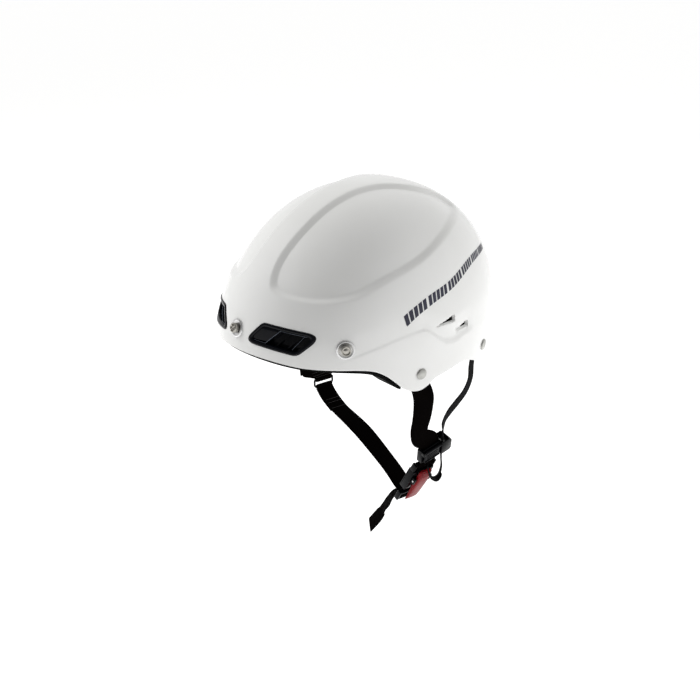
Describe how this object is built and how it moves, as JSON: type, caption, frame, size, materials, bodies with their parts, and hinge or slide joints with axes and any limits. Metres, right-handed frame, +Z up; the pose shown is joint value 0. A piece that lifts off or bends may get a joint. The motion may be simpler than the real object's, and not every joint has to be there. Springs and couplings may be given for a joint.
{
  "type": "water helmet",
  "caption": "Hard-shell water sports helmet with foam liner, ear flaps, brow vents, visor snap studs and a webbing chin harness with a side release clasp.",
  "frame": {"origin": "centre of the head opening, level with the rim at the nape", "axes": "+X towards the wearer's left, -Y towards the front, +Z up to the crown"},
  "size_m": [0.223, 0.2841, 0.3654],
  "materials": {
    "shell_white": "gloss",
    "liner_foam": "matte bead foam",
    "vent_black": "gloss",
    "pad_fabric": "brushed knit",
    "washer_silver": "satin",
    "stud_nickel": "polished nickel",
    "rivet_steel": "satin",
    "webbing_black": "woven webbing",
    "tape_grey": "woven tape",
    "wire_black": "satin black",
    "bar_steel": "satin",
    "clasp_black": "fine satin",
    "lever_red": "gloss"
  },
  "bodies": {
    "shell": {"outer_shell": "shell_white", "foam_liner": "liner_foam", "left_vent_insert": "vent_black", "right_vent_insert": "vent_black", "brow_pad": "pad_fabric", "left_side_pad": "pad_fabric", "right_side_pad": "pad_fabric", "nape_pad": "pad_fabric", "crown_pad": "pad_fabric", "stud_washers": "washer_silver", "visor_studs": "stud_nickel", "stud_backings": "rivet_steel", "strap_rivets": "rivet_steel", "rivet_washers": "rivet_steel", "left_ear_strap": "webbing_black", "left_rear_tape": "tape_grey", "right_ear_strap": "webbing_black", "right_rear_tape": "tape_grey", "right_yoke_patch": "webbing_black", "clasp_housing": "clasp_black", "lever_pin": "bar_steel", "lever_spring": "bar_steel"},
    "divider": {"strap_divider": "clasp_black", "gate_pin": "bar_steel"},
    "gate": {"divider_gate": "clasp_black"},
    "lever": {"release_lever": "lever_red"},
    "ring": {"wire_ring": "wire_black"},
    "chin_strap": {"chin_strap": "webbing_black", "clasp_tongue": "clasp_black", "adjuster_bar": "bar_steel"}
  },
  "joints": [
    {"name": "divider_slide", "type": "slide", "parent": "shell", "child": "divider", "axis": [-0.3211, 0.2226, -0.9205], "range_m": [-0.003, 0.0025]},
    {"name": "gate_hinge", "type": "hinge", "parent": "divider", "child": "gate", "pos_m": [0.08923, 0.02228, -0.08646], "axis": [0, -0.972, -0.235], "range_deg": [0, 80]},
    {"name": "lever_rock", "type": "hinge", "parent": "shell", "child": "lever", "pos_m": [0.07004, 0.026, -0.12613], "axis": [0, -1, 0], "range_deg": [0, 6], "stiffness_Nm_per_rad": 0.4},
    {"name": "ring_swing", "type": "hinge", "parent": "shell", "child": "ring", "pos_m": [-0.0872, 0.026, -0.073], "axis": [0, 1, 0], "range_deg": [0, 60]},
    {"name": "chin_strap_swing", "type": "hinge", "parent": "ring", "child": "chin_strap", "pos_m": [-0.0872, 0.026, -0.08], "axis": [0, 1, 0], "range_deg": [0, 110]}
  ]
}
